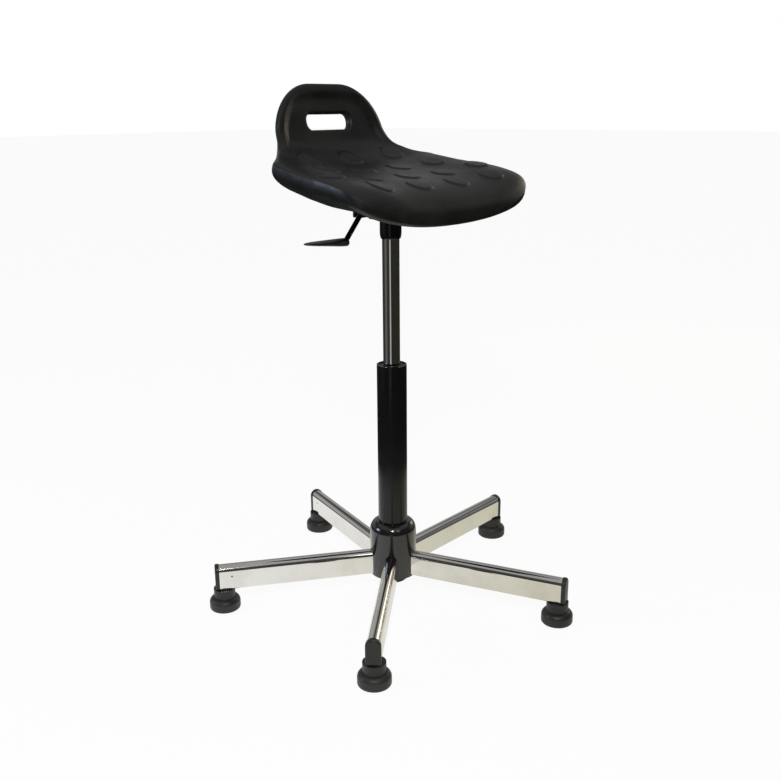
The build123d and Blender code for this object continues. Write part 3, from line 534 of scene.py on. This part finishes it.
class SkinGrid:
    """Closed grid of the seat's skin, with blocks of cells left out for patches."""

    COLUMNS = 140
    NOSE_ROWS = 16
    MIDDLE_ROWS = 80
    CROWN_ROWS = 20

    def __init__(self):
        self.mesh = bmesh.new()
        self.shares = [math.sin(math.pi / 2 * (2 * i / self.COLUMNS - 1))
                       for i in range(self.COLUMNS + 1)]
        self.places = [NOSE * (1 - math.cos(math.pi / 2 * i / self.NOSE_ROWS))
                       for i in range(self.NOSE_ROWS)]
        self.places += [NOSE + (LINE - CROWN - NOSE) * i / self.MIDDLE_ROWS
                        for i in range(self.MIDDLE_ROWS)]
        self.places += [LINE - CROWN + CROWN * math.sin(math.pi / 2 * i / self.CROWN_ROWS)
                        for i in range(self.CROWN_ROWS + 1)]
        self.points = {}
        for side in (-1, 1):
            for row in range(len(self.places)):
                for column in range(self.COLUMNS + 1):
                    self.points[side, row, column] = self.grid_point(side, row, column)
        self.left_out = set()

    def across(self, row, column):
        """Distance of a grid point from the middle."""
        return self.shares[column] * section(self.places[row])[0]

    def grid_point(self, side, row, column):
        """Vertex of the grid, shared by both sides along the edges."""
        edge = column in (0, self.COLUMNS)
        if side == 1 and edge:
            return self.points[-1, row, column]
        return self.add(skin_point(self.across(row, column), self.places[row], side))

    def add(self, point):
        """Vertex at a point given in millimetres."""
        return self.mesh.verts.new(point * MM)

    def block(self, side, centre, place, half):
        """Leave a block of cells out; give its rim and each rim point's share of a quarter turn."""
        rows = [i for i, value in enumerate(self.places) if abs(value - place) <= half[1]]
        low, high = rows[0] - 1, rows[-1] + 1
        middle = (low + high) // 2
        near = [i for i in range(len(self.shares))
                if abs(self.across(middle, i) - centre) <= half[0]]
        left, right = near[0] - 1, near[-1] + 1
        for row in range(low, high):
            for column in range(left, right):
                self.left_out.add((side, row, column))
        rim = [(low, i) for i in range(left, right)]
        rim += [(i, right) for i in range(low, high)]
        rim += [(high, i) for i in range(right, left, -1)]
        rim += [(i, left) for i in range(high, low, -1)]
        turns = []
        for row, column in rim:
            x = (2 * column - left - right) / (right - left)
            y = (2 * row - low - high) / (high - low)
            run = abs(y) * half[1] if abs(x) == 1.0 else half[1] + (1.0 - abs(x)) * half[0]
            turns.append((math.copysign(1.0, x), math.copysign(1.0, y),
                          run / (half[0] + half[1])))
        return rim, turns

    def flat(self, row, column):
        """Across and place of a grid point."""
        return Vector((self.across(row, column), self.places[row]))

    def band(self, first, second, turned):
        """Quads between two rings of points."""
        count = len(first)
        for i in range(count):
            j = (i + 1) % count
            corners = (first[i], first[j], second[j], second[i])
            self.mesh.faces.new(corners if turned else corners[::-1])

    def disc(self, ring, centre, turned):
        """Triangles from a ring to one point."""
        count = len(ring)
        for i in range(count):
            corners = (ring[i], ring[(i + 1) % count], centre)
            self.mesh.faces.new(corners if turned else corners[::-1])

    def fill(self):
        """Faces of every cell that isn't left out, and of the two ends."""
        last_row = len(self.places) - 1
        last_column = len(self.shares) - 1
        for side in (-1, 1):
            for row in range(last_row):
                for column in range(last_column):
                    if (side, row, column) in self.left_out:
                        continue
                    corners = [self.points[side, row, column],
                               self.points[side, row, column + 1],
                               self.points[side, row + 1, column + 1],
                               self.points[side, row + 1, column]]
                    self.mesh.faces.new(corners if side == -1 else corners[::-1])
        for row in (0, last_row):
            for column in range(last_column):
                corners = [self.points[-1, row, column], self.points[-1, row, column + 1],
                           self.points[1, row, column + 1], self.points[1, row, column]]
                kept = [corner for i, corner in enumerate(corners) if corner not in corners[:i]]
                self.mesh.faces.new(kept[::-1] if row == 0 else kept)


def outline(turns, centre, half, corner):
    """Rounded rectangle with one point for each rim point."""
    points = []
    for x_sign, y_sign, share in turns:
        x, y = rounded_corner_point(share, half, corner)
        points.append(Vector((centre[0] + x_sign * x, centre[1] + y_sign * y)))
    return points


def add_pad(grid, across, place, radius, height):
    """Round grip pad with a rounded edge."""
    rim, turns = grid.block(-1, across, place, (radius + PAD_MARGIN, radius + PAD_MARGIN))
    flat = [grid.flat(*point) for point in rim]
    last = [grid.points[-1, row, column] for row, column in rim]
    centre = (across, place)
    foot = outline(turns, centre, (radius, radius), radius)
    for share in (0.5, 1.0):
        ring = [grid.add(skin_point(*start.lerp(end, share), -1)) for start, end in zip(flat, foot)]
        grid.band(last, ring, True)
        last = ring
    for inset, lift in PAD_PROFILE:
        reach = radius - inset
        ring = [grid.add(skin_point(*point, -1, height * lift))
                for point in outline(turns, centre, (reach, reach), reach)]
        grid.band(last, ring, True)
        last = ring
    grid.disc(last, grid.add(skin_point(across, place, -1, height * PAD_CROWN)), True)


def add_hand_hole(grid, rim_radius):
    """Slot through the back with a rounded rim on both sides."""
    middle = (0.0, HOLE_PLACE)

    def slot(turns, outset):
        return outline(turns, middle, (HOLE_HALF[0] + outset, HOLE_HALF[1] + outset),
                       HOLE_CORNER + outset)

    room = tuple(half + rim_radius + HOLE_MARGIN for half in HOLE_HALF)
    ends = []
    for side in (-1, 1):
        rim, turns = grid.block(side, *middle, room)
        flat = [grid.flat(*point) for point in rim]
        last = [grid.points[side, row, column] for row, column in rim]
        foot = slot(turns, rim_radius)
        for share in (0.35, 0.7, 1.0):
            ring = [grid.add(skin_point(*start.lerp(end, share), side))
                    for start, end in zip(flat, foot)]
            grid.band(last, ring, side == -1)
            last = ring
        for turn in (15.0, 30.0, 45.0, 60.0, 75.0, 90.0):
            outset = rim_radius * (1.0 - math.sin(math.radians(turn)))
            sunk = rim_radius * (1.0 - math.cos(math.radians(turn)))
            ring = [grid.add(skin_point(*point, side, -sunk)) for point in slot(turns, outset)]
            grid.band(last, ring, side == -1)
            last = ring
        ends.append(last)
    front, rear = ends
    halfway = [grid.mesh.verts.new(start.co.lerp(end.co, 0.5)) for start, end in zip(front, rear)]
    grid.band(front, halfway, True)
    grid.band(halfway, rear, True)


def place_under(across, depth):
    """Place along the line whose underside has a given world y."""
    low, high = 20.0, PAN + 0.7 * BEND
    for _ in range(40):
        middle = (low + high) / 2
        if skin_point(across, middle, 1).y < depth:
            low = middle
        else:
            high = middle
    return (low + high) / 2


def add_plate_pocket(grid):
    """Pocket in the underside that the mounting plate sits in."""
    low, high = (Vector(corner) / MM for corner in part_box("mounting_plate"))
    middle = (low.y + high.y) / 2
    half = ((high.x - low.x) / 2 + POCKET_GAP, (high.y - low.y) / 2 + POCKET_GAP)
    roof = high.z + POCKET_HEADROOM

    def mouth(outset):
        return outline(turns, (0.0, middle), (half[0] + outset, half[1] + outset),
                       POCKET_CORNER + outset)

    room = (half[0] + POCKET_EDGE + 5.0, half[1] + POCKET_EDGE + 8.0)
    rim, turns = grid.block(1, 0.0, place_under(0.0, middle), room)
    flat = [grid.flat(*point) for point in rim]
    last = [grid.points[1, row, column] for row, column in rim]
    foot = [Vector((point.x, place_under(point.x, point.y))) for point in mouth(POCKET_EDGE)]
    for share in (0.5, 1.0):
        ring = [grid.add(skin_point(*start.lerp(end, share), 1)) for start, end in zip(flat, foot)]
        grid.band(last, ring, False)
        last = ring
    for turn in (30.0, 60.0, 90.0):
        outset = POCKET_EDGE * (1.0 - math.sin(math.radians(turn)))
        lifted = POCKET_EDGE * (1.0 - math.cos(math.radians(turn)))
        ring = []
        for point in mouth(outset):
            under = skin_point(point.x, place_under(point.x, point.y), 1)
            ring.append(grid.add(Vector((point.x, point.y, under.z + lifted))))
        grid.band(last, ring, False)
        last = ring
    ring = [grid.add(Vector((point.x, point.y, roof))) for point in mouth(0.0)]
    grid.band(last, ring, False)
    grid.disc(ring, grid.add(Vector((0.0, middle, roof))), False)


def build_seat():
    """Moulded seat with grip pads, a hand hole and a pocket for the plate."""
    settings = bpy.context.scene.stool_seat
    grid = SkinGrid()
    for across, place in PADS:
        add_pad(grid, across, place, settings.pad_diameter / 2 / MM, settings.pad_height / MM)
    add_hand_hole(grid, settings.rim_radius / MM)
    add_plate_pocket(grid)
    grid.fill()
    open_edges = sum(1 for edge in grid.mesh.edges if not edge.is_manifold)
    if open_edges:
        raise RuntimeError(f"the seat has {open_edges} open edges")
    bmesh.ops.recalc_face_normals(grid.mesh, faces=grid.mesh.faces)
    data = bpy.data.meshes.new("seat_moulding")
    grid.mesh.to_mesh(data)
    grid.mesh.free()
    for face in data.polygons:
        face.use_smooth = True
    seat = bpy.data.objects.new("seat_moulding", data)
    bpy.context.scene.collection.objects.link(seat)
    data.materials.append(seat_skin_finish())
    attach(seat, "seat_lift")
    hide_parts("seat")


# Hub skirt, in metres

SKIRT_RADIUS = 0.0400
SKIRT_WALL = 0.0047
SKIRT_BOTTOM = 0.0362
SKIRT_TOP = 0.0807
SKIRT_SIDES = 160
LEG_COUNT = 5
LEG_WIDTH = 0.022
LEG_BOTTOM = 0.038
LEG_TOP = 0.0805
NOTCH_MIDDLE = 0.045
NOTCH_LENGTH = 0.05
NOTCH_ROUND = 0.498


def leg_notch(clearance):
    """Round-topped bar along +X, as wide as a leg with its clearance."""
    width = LEG_WIDTH + 2 * clearance
    bottom, top = LEG_BOTTOM - clearance, LEG_TOP + clearance
    bpy.ops.object.select_all(action="DESELECT")
    bpy.ops.mesh.primitive_cube_add(
        size=1.0, location=(NOTCH_MIDDLE, 0.0, (bottom + top) / 2),
        scale=(NOTCH_LENGTH, width, top - bottom))
    bar = bpy.context.active_object
    bpy.ops.object.transform_apply(location=True, rotation=True, scale=True)
    mesh = bar.data
    for part in (*mesh.polygons, *mesh.vertices):
        part.select = False
    for edge in mesh.edges:
        ends = [mesh.vertices[index] for index in edge.vertices]
        level = all(end.co.z > (bottom + top) / 2 for end in ends)
        edge.select = level and ends[0].co.y * ends[1].co.y > 0.0
        if edge.select:
            for end in ends:
                end.select = True
    bpy.ops.object.mode_set(mode="EDIT")
    bpy.ops.mesh.select_mode(type="EDGE")
    bpy.ops.mesh.bevel(offset=width * NOTCH_ROUND, segments=12, affect="EDGES")
    bpy.ops.object.mode_set(mode="OBJECT")
    return bar


def build_hub_skirt(clearance):
    """Ring round the hub, below its cover, notched for the legs."""
    bpy.ops.object.select_all(action="DESELECT")
    bpy.ops.mesh.primitive_cylinder_add(
        vertices=SKIRT_SIDES, radius=SKIRT_RADIUS, depth=SKIRT_TOP - SKIRT_BOTTOM,
        location=(0.0, 0.0, (SKIRT_BOTTOM + SKIRT_TOP) / 2))
    skirt = bpy.context.active_object
    skirt.name = "hub_skirt"
    bpy.ops.object.transform_apply(location=True, rotation=True, scale=True)
    bpy.ops.object.mode_set(mode="EDIT")
    bpy.ops.mesh.select_mode(type="FACE")
    bpy.ops.mesh.select_all(action="DESELECT")
    bpy.ops.object.mode_set(mode="OBJECT")
    for face in skirt.data.polygons:
        face.select = abs(face.normal.z) > 0.9
    bpy.ops.object.mode_set(mode="EDIT")
    bpy.ops.mesh.inset(thickness=SKIRT_WALL, depth=0.0)
    bpy.ops.mesh.bridge_edge_loops()
    bpy.ops.mesh.select_all(action="SELECT")
    bpy.ops.mesh.normals_make_consistent(inside=False)
    bpy.ops.object.mode_set(mode="OBJECT")
    bar = leg_notch(clearance)
    for spoke in range(LEG_COUNT):
        cutter = bar.copy()
        cutter.data = bar.data.copy()
        bpy.context.scene.collection.objects.link(cutter)
        cutter.rotation_euler = (0.0, 0.0, 2 * math.pi * spoke / LEG_COUNT)
        cut = skirt.modifiers.new("notch", "BOOLEAN")
        cut.operation = "DIFFERENCE"
        cut.solver = "EXACT"
        cut.object = cutter
        bpy.ops.object.select_all(action="DESELECT")
        skirt.select_set(True)
        bpy.context.view_layer.objects.active = skirt
        bpy.ops.object.modifier_apply(modifier=cut.name)
        bpy.data.objects.remove(cutter)
    bpy.data.objects.remove(bar)
    bpy.ops.object.shade_smooth_by_angle(angle=math.radians(30.0))
    skirt.data.materials.clear()
    skirt.data.materials.append(bpy.data.materials["cover_plastic"])
    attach(skirt, "base")


# Studio

VIEW_SIDE = Vector((-0.7468, -0.6651))
# Painted floor reflections: reach of the pale glow round the stool, and reach and bearings of the
# bright band and faint spot.
PAINTED_GLOW_EDGE = (0.5, 0.66)
FAR_FLOOR = (1.15, 1.35)
PAINTED_BAND_BEARING = -0.2
PAINTED_SPOT_BEARING = -1.3
FLOOR_GREY = (0.85, 0.85, 0.85, 1.0)
# Beige tint painted into the floor's reflections on one side.
PAINTED_REFLECTION_TINT = (0.72, 0.7, 0.58, 1.0)
CAMERA_AZIMUTH = math.radians(-48.31)
CAMERA_PITCH = 0.2884
CAMERA_YAW = -0.0021
CAMERA_ROLL = -0.0086
CAMERA_PLACE = (0.0, -1.5287, 0.8205)
CAMERA_LENS = 43.95


def build_floor(brightness):
    """White floor: the camera sees it white; metal reflections show a painted glow instead: a pale
    area round the stool on a dark floor, a bright band and a faint spot farther out standing in for
    lights, and a beige tint on one side.
    """
    bpy.ops.object.select_all(action="DESELECT")
    bpy.ops.mesh.primitive_plane_add(size=60.0, location=(0.0, 0.0, 0.0))
    floor = bpy.context.active_object
    floor.name = "floor"
    material, pale = finish_named("pale_floor")
    camera_ray = pale.node("ShaderNodeLightPath", output="Is Camera Ray")
    glossy_ray = pale.node("ShaderNodeLightPath", output="Is Glossy Ray")
    place = pale.place()
    east = pale.axis(place, "X")
    north = pale.axis(place, "Y")
    along = east * VIEW_SIDE.x + north * VIEW_SIDE.y
    aside = east * -VIEW_SIDE.y + north * VIEW_SIDE.x
    reach = pale.node("ShaderNodeVectorMath", {"operation": "LENGTH"}, {0: place}, output="Value")
    bearing = aside.math("ARCTAN2", aside, along)
    # Painted reflection: glow that only reflections show, pale round the stool, with a bright band
    # and a faint spot farther out in place of lights.
    painted_pale_glow = pale.step(reach, *PAINTED_GLOW_EDGE, 0.95, 0.035)
    painted_band_glow = pale.step(bearing.distance(PAINTED_BAND_BEARING), 0.10, 0.17, 0.45, 0.0)
    painted_spot_glow = pale.step(bearing.distance(PAINTED_SPOT_BEARING), 0.15, 0.4, 0.09, 0.0)
    painted_glow = painted_pale_glow + (painted_band_glow + painted_spot_glow) * pale.step(reach, *FAR_FLOOR)
    lit = pale.node("ShaderNodeBsdfDiffuse", values={"Color": FLOOR_GREY})
    # Painted reflection: one side of the floor turns beige, in reflections only.
    painted_tint_share = pale.step(aside, -0.35, 0.3)
    tone = pale.tint(painted_tint_share * glossy_ray, (brightness,) * 3 + (1.0,), PAINTED_REFLECTION_TINT)
    glow = pale.node("ShaderNodeEmission", values={
        "Color": tone, "Strength": camera_ray * 1.05 + glossy_ray * painted_glow})
    mixed = pale.node("ShaderNodeMixShader",
                      values={0: camera_ray * 0.88 + glossy_ray, 1: lit, 2: glow})
    pale.node("ShaderNodeOutputMaterial", values={"Surface": mixed})
    floor.data.materials.append(material)


def build_world(brightness):
    """Soft even light in a dim room, white where the camera looks past the floor."""
    world = bpy.data.worlds.new("studio")
    bpy.context.scene.world = world
    world.use_nodes = True
    sky = Finish(world.node_tree)
    camera_ray = sky.node("ShaderNodeLightPath", output="Is Camera Ray")
    glossy_ray = sky.node("ShaderNodeLightPath", output="Is Glossy Ray")
    direction = sky.node("ShaderNodeTexCoord", output="Generated")
    height = sky.axis(direction, "Z")
    facing = sky.axis(direction, "X") * -VIEW_SIDE.x + sky.axis(direction, "Y") * -VIEW_SIDE.y
    wall = sky.step(facing, -0.1, 0.5) * sky.step(height, 0.42, 0.58, 1.0, 0.0)
    room = sky.step(height, 0.55, 0.75, 0.05, 0.38) + wall * 0.34
    strength = (camera_ray * brightness + glossy_ray * room
                + (1.0 - camera_ray) * (1.0 - glossy_ray) * 0.3)
    light = sky.node("ShaderNodeBackground",
                     values={"Color": (1.0, 1.0, 1.0, 1.0), "Strength": strength})
    sky.node("ShaderNodeOutputWorld", values={"Surface": light})


def add_light(name, place, aim, size, power, colour):
    """Square soft light aimed at a height on the column's axis."""
    turn = (Vector((0.0, 0.0, aim)) - Vector(place)).to_track_quat("-Z", "Y").to_euler()
    bpy.ops.object.light_add(type="AREA", location=place, rotation=turn)
    light = bpy.context.active_object
    light.name = name
    light.data.size = size
    light.data.energy = power
    light.data.color = colour


def build_camera():
    """Camera at the photograph's viewpoint."""
    away = Vector((math.sin(CAMERA_YAW) * math.cos(CAMERA_PITCH),
                   math.cos(CAMERA_YAW) * math.cos(CAMERA_PITCH), -math.sin(CAMERA_PITCH)))
    right = Vector((math.cos(CAMERA_YAW), -math.sin(CAMERA_YAW), 0.0))
    up = right.cross(away)
    rolled_right = math.cos(CAMERA_ROLL) * right + math.sin(CAMERA_ROLL) * up
    rolled_up = -math.sin(CAMERA_ROLL) * right + math.cos(CAMERA_ROLL) * up
    axes = Matrix((rolled_right, rolled_up, -away)).transposed()
    turn = Matrix.Rotation(CAMERA_AZIMUTH, 3, "Z")
    place = turn @ Vector(CAMERA_PLACE)
    bpy.ops.object.camera_add(location=place, rotation=(turn @ axes).to_euler())
    camera = bpy.context.active_object
    camera.name = "photo_camera"
    camera.data.lens = CAMERA_LENS
    camera.data.sensor_width = 36.0
    bpy.context.scene.camera = camera


# Operators

class STOOL_OT_seat(bpy.types.Operator):
    """Build the moulded seat"""

    bl_idname = "stool.seat"
    bl_label = "Moulded Seat"

    def execute(self, context):
        build_seat()
        return {"FINISHED"}


class STOOL_OT_base(bpy.types.Operator):
    """Finish the legs, plugs and glides"""

    bl_idname = "stool.base"
    bl_label = "Base Finishes"

    def execute(self, context):
        dress(chrome_finish("leg_chrome"), "leg")
        dress(moulded_plastic_finish("plug_plastic", 0.9, 0.34, 0.46, 0.0), "leg_plug")
        dress(moulded_plastic_finish("glide_plastic", 1.0, 0.4, 0.52, 0.0), "glide_foot")
        dress(bare_steel_finish("zinc_steel", (0.55, 0.55, 0.54, 1.0), 0.25, 0.4),
              "glide_stem", "glide_ring")
        return {"FINISHED"}


class STOOL_OT_column(bpy.types.Operator):
    """Finish the hub, its cover, the column and the guide bush"""

    bl_idname = "stool.column"
    bl_label = "Column Finishes"

    def execute(self, context):
        dress(black_paint_finish(), "hub", "column_tube")
        dress(moulded_plastic_finish("cover_plastic", 0.45, 0.12, 0.2, 0.6), "hub_cover")
        dress(moulded_plastic_finish("bush_plastic", 0.9, 0.4, 0.5, 0.0), "guide_bush")
        return {"FINISHED"}


class STOOL_OT_hub_skirt(bpy.types.Operator):
    """Build the skirt round the hub, below its cover"""

    bl_idname = "stool.hub_skirt"
    bl_label = "Hub Skirt"

    def execute(self, context):
        build_hub_skirt(context.scene.stool_skirt.clearance)
        return {"FINISHED"}


class STOOL_OT_lift(bpy.types.Operator):
    """Finish the gas cylinder and the parts inside it"""

    bl_idname = "stool.lift"
    bl_label = "Gas Lift Finishes"

    def execute(self, context):
        dress(chrome_finish("cylinder_chrome", "Z"), "gas_cylinder")
        dress(bare_steel_finish("bearing_steel", (0.62, 0.62, 0.62, 1.0), 0.12, 0.2),
              "lower_race", "upper_race", "bearing_balls")
        dress(bare_steel_finish("brass", (0.66, 0.5, 0.22, 1.0), 0.25, 0.35), "ball_cage")
        dress(bare_steel_finish("rod_steel", (0.58, 0.58, 0.57, 1.0), 0.16, 0.28),
              "piston_rod", "rod_clip", "piston_nut", "pressure_tube", "release_pin")
        dress(bare_steel_finish("aluminium", (0.72, 0.72, 0.72, 1.0), 0.3, 0.42),
              "piston", "rod_guide", "valve_body")
        dress(rubber_finish(), "damper_ring", "piston_ring", "rod_seal")
        return {"FINISHED"}


class STOOL_OT_carrier(bpy.types.Operator):
    """Finish the socket, plate, board, fasteners and lever"""

    bl_idname = "stool.carrier"
    bl_label = "Seat Carrier Finishes"

    def execute(self, context):
        dress(bpy.data.materials["black_paint"], "seat_socket", "mounting_plate", "lever_rod")
        dress(bare_steel_finish("bolt_steel", (0.5, 0.5, 0.49, 1.0), 0.3, 0.45),
              "plate_bolts", "plate_washers", "tee_nuts", "pivot_pin", "pivot_clip")
        dress(plywood_finish(), "seat_board")
        dress(moulded_plastic_finish("paddle_plastic", 0.9, 0.36, 0.48, 0.0), "lever_paddle")
        return {"FINISHED"}


class STOOL_OT_studio(bpy.types.Operator):
    """Set up the floor, the lights and the camera"""

    bl_idname = "stool.studio"
    bl_label = "Studio"

    def execute(self, context):
        settings = context.scene.stool_studio
        context.scene.view_settings.view_transform = "Standard"
        build_floor(settings.background)
        build_world(settings.background)
        add_light("window_light", place=(-1.95, 1.75, 1.0), aim=0.68, size=0.8,
                  power=settings.key_power, colour=(0.62, 0.76, 1.0))
        add_light("side_light", place=(-1.5, -1.2, 1.7), aim=0.68, size=0.3,
                  power=17.0, colour=(1.0, 0.96, 0.9))
        add_light("warm_light", place=(2.5, 0.1, 1.1), aim=0.7, size=0.9,
                  power=4.5, colour=(1.0, 0.82, 0.56))
        add_light("front_light", place=(-0.9, -2.6, 2.2), aim=0.5, size=0.7,
                  power=settings.fill_power, colour=(1.0, 0.95, 0.88))
        build_camera()
        return {"FINISHED"}


class STOOL_PT_panel(bpy.types.Panel):
    """Settings and steps of the stool"""

    bl_idname = "STOOL_PT_panel"
    bl_label = "Clinic Stool"
    bl_space_type = "VIEW_3D"
    bl_region_type = "UI"
    bl_category = "Clinic Stool"

    def draw(self, context):
        layout = self.layout
        for name, _ in GROUPS:
            group = getattr(context.scene, name)
            box = layout.box()
            for setting in group.__annotations__:
                box.prop(group, setting)
        for step in STEPS:
            layout.operator(step.bl_idname)


STEPS = (STOOL_OT_seat, STOOL_OT_base, STOOL_OT_column, STOOL_OT_hub_skirt, STOOL_OT_lift,
         STOOL_OT_carrier, STOOL_OT_studio)
GROUPS = (("stool_seat", StoolSeatSettings), ("stool_skirt", StoolSkirtSettings),
          ("stool_colours", StoolColourSettings), ("stool_studio", StoolStudioSettings))


def register():
    for name, group in GROUPS:
        bpy.utils.register_class(group)
        setattr(bpy.types.Scene, name, bpy.props.PointerProperty(type=group))
    for step in STEPS:
        bpy.utils.register_class(step)
    bpy.utils.register_class(STOOL_PT_panel)


def unregister():
    bpy.utils.unregister_class(STOOL_PT_panel)
    for step in reversed(STEPS):
        bpy.utils.unregister_class(step)
    for name, group in reversed(GROUPS):
        delattr(bpy.types.Scene, name)
        bpy.utils.unregister_class(group)


def main():
    register()
    bpy.ops.object.select_all(action="DESELECT")
    bpy.ops.stool.seat()
    bpy.ops.stool.base()
    bpy.ops.stool.column()
    bpy.ops.stool.hub_skirt()
    bpy.ops.stool.lift()
    bpy.ops.stool.carrier()
    bpy.ops.stool.studio()


if __name__ == "__main__":
    main()
